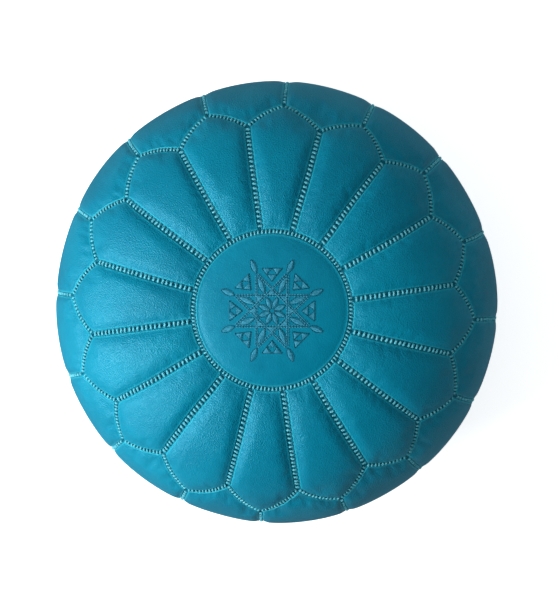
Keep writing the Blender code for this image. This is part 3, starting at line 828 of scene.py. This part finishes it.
def base_surface(x, y, lift=0.0):
    """Points on the base's underside over (x, y), and how far each is from the rim's seam."""
    distance = BASE_SEAM_RADIUS - np.hypot(x, y)
    inward = np.clip((np.abs(y) - placket_edge(x)) / LIP_ROLL, 0, 1)
    lip = SEAM_LIP_HEIGHT + (LIP_HEIGHT - SEAM_LIP_HEIGHT) * placket(x)
    raised = channel(distance, BASE_HALF) - lip * (1 - np.sqrt(1 - (1 - inward) ** 2)) + lift
    past = distance - BASE_HALF
    waves = 1 + np.sin(90 * x + 2 * np.sin(60 * y)) * np.sin(75 * y + 1.3)
    raised = raised - BASE_WAVE * waves * smooth_step(past, 0, BASE_WAVE_RISE)
    point, normal = cover(np.arctan2(y, x), arc_below(np.hypot(x, y)), raised)
    return point, normal, past


def make_base_half(name, node, side, paint, columns=181):
    """One half of the base, from the placket's edge out to the rim; side is -1 in front and 1 at the back."""
    angle = np.linspace(0, math.pi, columns)
    rim = BASE_SEAM_RADIUS - PANEL_GAP
    inner_x = (rim - BASE_INSET) * np.cos(angle)
    inner = np.stack([inner_x, placket_edge(inner_x)], -1)
    outer = np.stack([rim * np.cos(angle), np.maximum(rim * np.sin(angle), CLOSED_GAP)], -1)
    span = np.linalg.norm(outer - inner, axis=1)
    slope = np.abs(((outer - inner) * outer).sum(1)) / (span * rim)
    short_lip = span * LIP_SHARE * LIP_STEPS / LIP_STEPS[-1] + LIP_STEPS * smooth_step(span, *LIP_ROOM)
    lip_rows = np.minimum(LIP_STEPS, short_lip)
    from_rim = edge_steps(BASE_HALF)[::-1, None] / np.maximum(slope, LEAST_SLOPE)
    rim_rows = span - np.minimum(from_rim, span * RIM_SHARE * from_rim / from_rim.max())
    between = np.arange(1, BASE_ROWS)[:, None] / BASE_ROWS
    middle_rows = lip_rows[-1] + (rim_rows[0] - lip_rows[-1]) * between
    share = np.concatenate([lip_rows, middle_rows, rim_rows]) / span
    flat = inner + (outer - inner) * share[..., None]
    point, normal, past = base_surface(flat[..., 0], side * flat[..., 1])
    if side > 0:
        point, normal, past = point[:, ::-1], normal[:, ::-1], past[:, ::-1]
    made = shell(name, point, -normal, paint, seam_paint(past, 0, WEAR_AND_HIGHLIGHT_WIDTH_FLAT))
    finish_piece(made, "leather", node)


def make_placket_stitches(paint):
    """Topstitching through base and tape, along both sides of the placket."""
    from_edge, stitch, gap = 5 * MM, 3.4 * MM, 1.0 * MM
    count = int(PLACKET_LENGTH / (stitch + gap))
    first = -PLACKET_LENGTH / 2 + (np.arange(count) + 0.5) * (stitch + gap) - stitch / 2
    parts = []
    t = np.linspace(-1, 1, 7)
    for side in (-1, 1):
        x = first[:, None] + stitch * (t + 1) / 2
        lift = (0.35 - 0.9 * np.abs(t) ** 6) * MM
        point, normal, _ = base_surface(x, side * (placket_edge(x) + from_edge), lift)
        along = unit(np.gradient(point, axis=1))
        parts.append(tubes(point, np.cross(normal, along), normal, 0.42 * MM, 0.36 * MM, sides=6))
    made = new_object("placket_stitches", *join_parts(parts), paint)
    finish_piece(made, "thread")


def round_edges(node, width, paint, segments=2):
    """A CAD solid kept as it is, with its edges rounded and a better material."""
    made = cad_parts[node]
    weld = made.modifiers.new("weld", "WELD")
    weld.merge_threshold = WELD_DISTANCE
    bevel = made.modifiers.new("rounded", "BEVEL")
    bevel.width = width
    bevel.segments = segments
    bevel.limit_method = "ANGLE"
    bevel.angle_limit = math.radians(35)
    made.data.materials.clear()
    made.data.materials.append(paint)


def make_end_cloths(paint):
    """A patch of tape cloth behind each end of the zipper, where the tapes part."""
    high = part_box("zipper_tape_front")[1]
    length, half_width, overlap, gap, thickness = 34 * MM, 13 * MM, 6 * MM, 0.8 * MM, 0.6 * MM
    x, y = np.meshgrid(np.linspace(0, length, 25), np.linspace(-half_width, half_width, 19))
    for side, name in ((-1, "zipper_end_cloth"), (1, "zipper_top_cloth")):
        z = high.z + gap + 0.15 * MM * np.sin(420 * x + 3) * np.sin(500 * y)
        points = np.stack([side * (high.x + overlap - x), y, z], -1)
        inward = np.array([0.0, 0.0, 1.0])
        made = shell(name, points if side < 0 else points[:, ::-1], inward, paint, {}, thickness)
        finish_piece(made, "tape")


def dress_zipper(metal, moulded, woven):
    """Materials and rounded edges for the zipper's own CAD solids."""
    for side in ("front", "back"):
        round_edges("zipper_teeth_" + side, 0.35 * MM, moulded)
        round_edges("zipper_tape_" + side, 0.15 * MM, woven, 1)
    round_edges("zipper_end_stop", 0.3 * MM, moulded)
    round_edges("zipper_top_stop", 0.3 * MM, moulded)
    round_edges("zipper_slider", 0.18 * MM, metal)
    round_edges("zipper_pull", 0.3 * MM, metal)


# ---------------------------------------------------------------- inside
NOISE_SEED = 7


def soften(name, node, slot, paint, cuts, amount, scale):
    """A soft inner piece: the CAD solid's shape, made finer and uneven. Unseeded, each run's would differ."""
    noise.seed_set(NOISE_SEED)
    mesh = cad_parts[node].data.copy()
    mesh.name = name
    work = bmesh.new()
    work.from_mesh(mesh)
    bmesh.ops.remove_doubles(work, verts=work.verts, dist=WELD_DISTANCE)
    bmesh.ops.subdivide_edges(work, edges=work.edges, cuts=cuts, use_grid_fill=True)
    for vert in work.verts:
        move = noise.noise_vector(vert.co * scale) + 0.5 * noise.noise_vector(vert.co * scale * 2.3)
        inward = Vector((-vert.co.x, -vert.co.y, GIRTH_HEIGHT - vert.co.z)).normalized()
        vert.co += move * amount + inward * amount * 1.5
    bmesh.ops.recalc_face_normals(work, faces=work.faces)
    work.to_mesh(mesh)
    work.free()
    mesh.materials.clear()
    mesh.materials.append(paint)
    mesh.shade_smooth()
    made = bpy.data.objects.new(name, mesh)
    bpy.context.scene.collection.objects.link(made)
    return finish_piece(made, slot, node)


# ---------------------------------------------------------------- materials
class Nodes:
    """A material's node tree, with short calls for what is used here."""

    def __init__(self, name):
        self.material = bpy.data.materials.new(name)
        self.material.use_nodes = True
        self.tree = self.material.node_tree
        self.shader = self.tree.nodes["Principled BSDF"]
        self.place = self.add("ShaderNodeTexCoord").outputs["Object"]

    def add(self, kind, **values):
        node = self.tree.nodes.new(kind)
        for key, value in values.items():
            setattr(node, key, value)
        return node

    def link(self, source, target):
        self.tree.links.new(source, target)

    def fill(self, node, inputs):
        """Gives a node's inputs their values; where a value is a socket, it is linked."""
        for name, value in inputs.items():
            if isinstance(value, bpy.types.NodeSocket):
                self.link(value, node.inputs[name])
            else:
                node.inputs[name].default_value = value
        return node

    def surface(self, inputs):
        """The finished material, with these inputs on its shader."""
        self.fill(self.shader, inputs)
        return self.material

    def noise(self, scale, detail=3, roughness=0.5, distortion=0.0):
        inputs = {"Scale": scale, "Detail": detail, "Roughness": roughness, "Distortion": distortion}
        return self.fill(self.add("ShaderNodeTexNoise"), {**inputs, "Vector": self.place}).outputs["Fac"]

    def cells(self, scale):
        inputs = {"Scale": scale, "Vector": self.place}
        return self.fill(self.add("ShaderNodeTexVoronoi"), inputs).outputs["Distance"]

    def attribute(self, name):
        return self.add("ShaderNodeAttribute", attribute_name=name).outputs["Fac"]

    def ramp(self, value, low, high, from_low=0.0, from_high=1.0):
        inputs = {"From Min": from_low, "From Max": from_high, "To Min": low, "To Max": high, "Value": value}
        return self.fill(self.add("ShaderNodeMapRange"), inputs).outputs["Result"]

    def sum(self, one, two, weight=1.0):
        node = self.add("ShaderNodeMath", operation="MULTIPLY_ADD")
        self.link(two, node.inputs[0])
        node.inputs[1].default_value = weight
        self.link(one, node.inputs[2])
        return node.outputs[0]

    def mix(self, share, one, two):
        """Colours one and two, each a colour or a socket, mixed by a socket."""
        node = self.add("ShaderNodeMix", data_type="RGBA")
        self.link(share, node.inputs["Factor"])
        colour_inputs = [socket for socket in node.inputs if socket.type == "RGBA"]
        for socket, colour in zip(colour_inputs, (one, two)):
            if isinstance(colour, tuple):
                socket.default_value = (*colour, 1)
            else:
                self.link(colour, socket)
        return next(socket for socket in node.outputs if socket.type == "RGBA")

    def bump(self, height, strength, distance, below=None):
        inputs = {"Strength": strength, "Distance": distance, "Height": height}
        if below is not None:
            inputs["Normal"] = below
        return self.fill(self.add("ShaderNodeBump"), inputs).outputs["Normal"]


TURQUOISE_DARK = (0.000, 0.165, 0.270)
TURQUOISE = (0.000, 0.225, 0.350)
TURQUOISE_LIGHT = (0.001, 0.255, 0.380)
TURQUOISE_WEAR_AND_HIGHLIGHT = (0.020, 0.420, 0.540)
TURQUOISE_PAINTED_SHADE = (0.001, 0.130, 0.190)


def leather_material(name, grain_depth):
    """Dyed goatskin: cloudy and mottled, paler on the folded edges as wear and a painted highlight, with
    painted shade down in the seams, and a pebbled grain.
    """
    m = Nodes(name)
    cloudy = m.ramp(m.noise(9, 4, 0.6), 0, 1, 0.3, 0.7)
    colour = m.mix(cloudy, TURQUOISE_DARK, TURQUOISE)
    mottled = m.ramp(m.noise(140, 3, 0.6), 0, 0.25, 0.4, 0.75)
    colour = m.mix(mottled, colour, TURQUOISE_LIGHT)
    # Paler along the folded edges: partly wear, partly a painted highlight.
    wear_and_highlight = m.ramp(m.attribute("edge"), 0, 0.65)
    colour = m.mix(wear_and_highlight, colour, TURQUOISE_WEAR_AND_HIGHLIGHT)
    # Painted shade: darker down in the seam channels.
    channel_shade_share = m.ramp(m.attribute("painted_channel_shade"), 0, 0.6)
    colour = m.mix(channel_shade_share, colour, TURQUOISE_PAINTED_SHADE)
    grain = m.sum(m.cells(780), m.noise(600, 3, 0.6), 0.8)
    fine = m.bump(grain, 0.8, grain_depth)
    return m.surface({
        "Base Color": colour,
        "Roughness": m.ramp(m.noise(35, 3), 0.31, 0.41),
        "IOR": 1.48,
        "Specular Tint": (0.27, 0.78, 1.0, 1),
        "Normal": m.bump(m.noise(120, 4, 0.6), 0.3, 0.8 * MM, fine),
    })


def thread_material(name, dark, light, scale=900):
    """Thread with a soft sheen; scale is how fine its dark and light streaks are."""
    m = Nodes(name)
    return m.surface({
        "Base Color": m.mix(m.ramp(m.noise(scale, 2), 0, 1, 0.35, 0.65), dark, light),
        "Roughness": 0.55,
        "Sheen Weight": 0.15,
        "Sheen Roughness": 0.4,
        "Sheen Tint": (0.2, 0.8, 1.0, 1),
        "Specular Tint": (0.3, 0.8, 1.0, 1),
        "Normal": m.bump(m.noise(2200, 2), 0.5, 0.15 * MM),
    })


def weave_material(name, dark, light, threads):
    """Plain-woven cloth: threads per metre, up and down in turn."""
    m = Nodes(name)
    waves = []
    for direction in ("X", "Y"):
        wave = m.add("ShaderNodeTexWave", bands_direction=direction)
        m.fill(wave, {"Scale": threads, "Distortion": 0.6, "Vector": m.place})
        waves.append(wave.outputs["Fac"])
    woven = m.sum(*waves)
    return m.surface({
        "Base Color": m.mix(m.ramp(woven, 0, 1, 0.2, 1.6), dark, light),
        "Roughness": 0.85,
        "Sheen Weight": 0.3,
        "Normal": m.bump(woven, 0.5, 0.2 * MM),
    })


def fibre_material():
    m = Nodes("loose_fibre")
    fluff = m.noise(260, 6, 0.7, 1.5)
    return m.surface({
        "Base Color": m.mix(fluff, (0.62, 0.58, 0.50), (0.90, 0.88, 0.82)),
        "Roughness": 1.0,
        "Sheen Weight": 0.5,
        "Normal": m.bump(fluff, 0.9, 2 * MM),
    })


def metal_material():
    m = Nodes("nickel")
    return m.surface({
        "Base Color": m.mix(m.noise(300, 3), (0.50, 0.48, 0.44), (0.66, 0.64, 0.60)),
        "Metallic": 1.0,
        "Roughness": m.ramp(m.noise(900, 3), 0.18, 0.36),
        "Normal": m.bump(m.noise(1500, 2), 0.15, 0.05 * MM),
    })


def moulded_material():
    m = Nodes("moulded_plastic")
    return m.surface({
        "Base Color": m.mix(m.noise(200, 2), (0.012, 0.130, 0.170), (0.020, 0.180, 0.230)),
        "Roughness": m.ramp(m.noise(800, 2), 0.28, 0.42),
        "Normal": m.bump(m.noise(2500, 2), 0.1, 0.05 * MM),
    })


def floor_material():
    m = Nodes("studio_floor")
    return m.surface({
        "Base Color": m.mix(m.noise(3, 2), (0.90, 0.90, 0.90), (0.93, 0.93, 0.93)),
        "Roughness": 0.9,
        "Emission Color": (1, 1, 1, 1),
        "Emission Strength": 0.72,
    })


# ---------------------------------------------------------------- stage
FLOOR_HALF = 40.0
# Each light, as (place, size, watts, whether the leather mirrors it); both point at the pouf's upper half
WINDOW = ((-0.95, -0.30, 0.86), (0.8, 0.5), 19, True)
CEILING = ((-0.4, 0.6, 2.4), (3.0, 3.0), 28, False)
LIGHT_TARGET = (0, 0, 0.25)
WORLD_STRENGTH = 0.10


def make_floor():
    """A pale floor. It is left out of reflections, where it would lay a white haze on the leather."""
    half = FLOOR_HALF
    points = [(-half, -half, 0), (half, -half, 0), (half, half, 0), (-half, half, 0)]
    floor = new_object("floor", points, [np.array([[0, 1, 2, 3]])], floor_material())
    floor.visible_glossy = False


def area_light(name, place, size, power, mirrored):
    data = bpy.data.lights.new(name, "AREA")
    data.shape = "RECTANGLE"
    data.size, data.size_y = size
    data.energy = power
    made = bpy.data.objects.new(name, data)
    bpy.context.scene.collection.objects.link(made)
    made.location = place
    made.visible_glossy = mirrored
    made.rotation_mode = "QUATERNION"
    made.rotation_quaternion = (Vector(LIGHT_TARGET) - made.location).to_track_quat("-Z", "Y")


def make_lights():
    area_light("window", *WINDOW)
    area_light("ceiling", *CEILING)
    world = bpy.data.worlds.new("studio")
    world.use_nodes = True
    background = world.node_tree.nodes["Background"]
    background.inputs["Color"].default_value = (1, 1, 1, 1)
    background.inputs["Strength"].default_value = WORLD_STRENGTH
    bpy.context.scene.world = world
    bpy.context.scene.view_settings.view_transform = "Standard"


CAMERA_PLACE = Vector((0.039, 0.074, 1.5))
CAMERA_TARGET = Vector((0.0039, 0.0069, GIRTH_HEIGHT))
CAMERA_LENS = 68.7


def make_camera():
    """Nearly straight above, with +Y up in the picture."""
    data = bpy.data.cameras.new("camera")
    data.lens = CAMERA_LENS
    made = bpy.data.objects.new("camera", data)
    bpy.context.scene.collection.objects.link(made)
    back = (CAMERA_PLACE - CAMERA_TARGET).normalized()
    right = Vector((0, 1, 0)).cross(back).normalized()
    turn = Matrix((right, back.cross(right), back)).transposed()
    made.matrix_world = Matrix.Translation(CAMERA_PLACE) @ turn.to_4x4()
    bpy.context.scene.camera = made


# ---------------------------------------------------------------- build
def main():
    leather = leather_material("turquoise_leather", 0.5 * MM)
    smooth_leather = leather_material("turquoise_leather_smooth", 0.22 * MM)
    thread = thread_material("stitching_thread", (0.050, 0.360, 0.460), (0.150, 0.540, 0.640))
    kinds = panel_kinds()
    for n, (kind, swelling) in enumerate(zip(kinds, swellings(kinds))):
        make_panel(kind, swelling, leather, seed=1.7 * n)
    make_medallion(smooth_leather)
    make_stitches(thread)
    silk = thread_material("embroidery_silk", (0.015, 0.190, 0.310), (0.055, 0.340, 0.480), 500)
    # Painted shade: this silk is dark for the shade round the embroidered motifs.
    shade = thread_material("embroidery_silk_painted_shade", (0.002, 0.060, 0.100), (0.006, 0.100, 0.150), 500)
    make_embroidery(silk, shade)
    make_base_half("base_leather_front", "base_front", -1, leather)
    make_base_half("base_leather_back", "base_back", 1, leather)
    make_placket_stitches(thread)
    woven = weave_material("zipper_tape_weave", (0.006, 0.070, 0.100), (0.015, 0.150, 0.200), 260)
    dress_zipper(metal_material(), moulded_material(), woven)
    make_end_cloths(woven)
    cotton = weave_material("cotton_weave", (0.55, 0.50, 0.40), (0.80, 0.76, 0.66), 180)
    soften("lining", "lining_bag", "cotton", cotton, 2, 0.6 * MM, 14)
    filling = soften("filling", "stuffing", "stuffing", fibre_material(), 3, 1.6 * MM, 22)
    make_floor()
    make_lights()
    make_camera()


main()
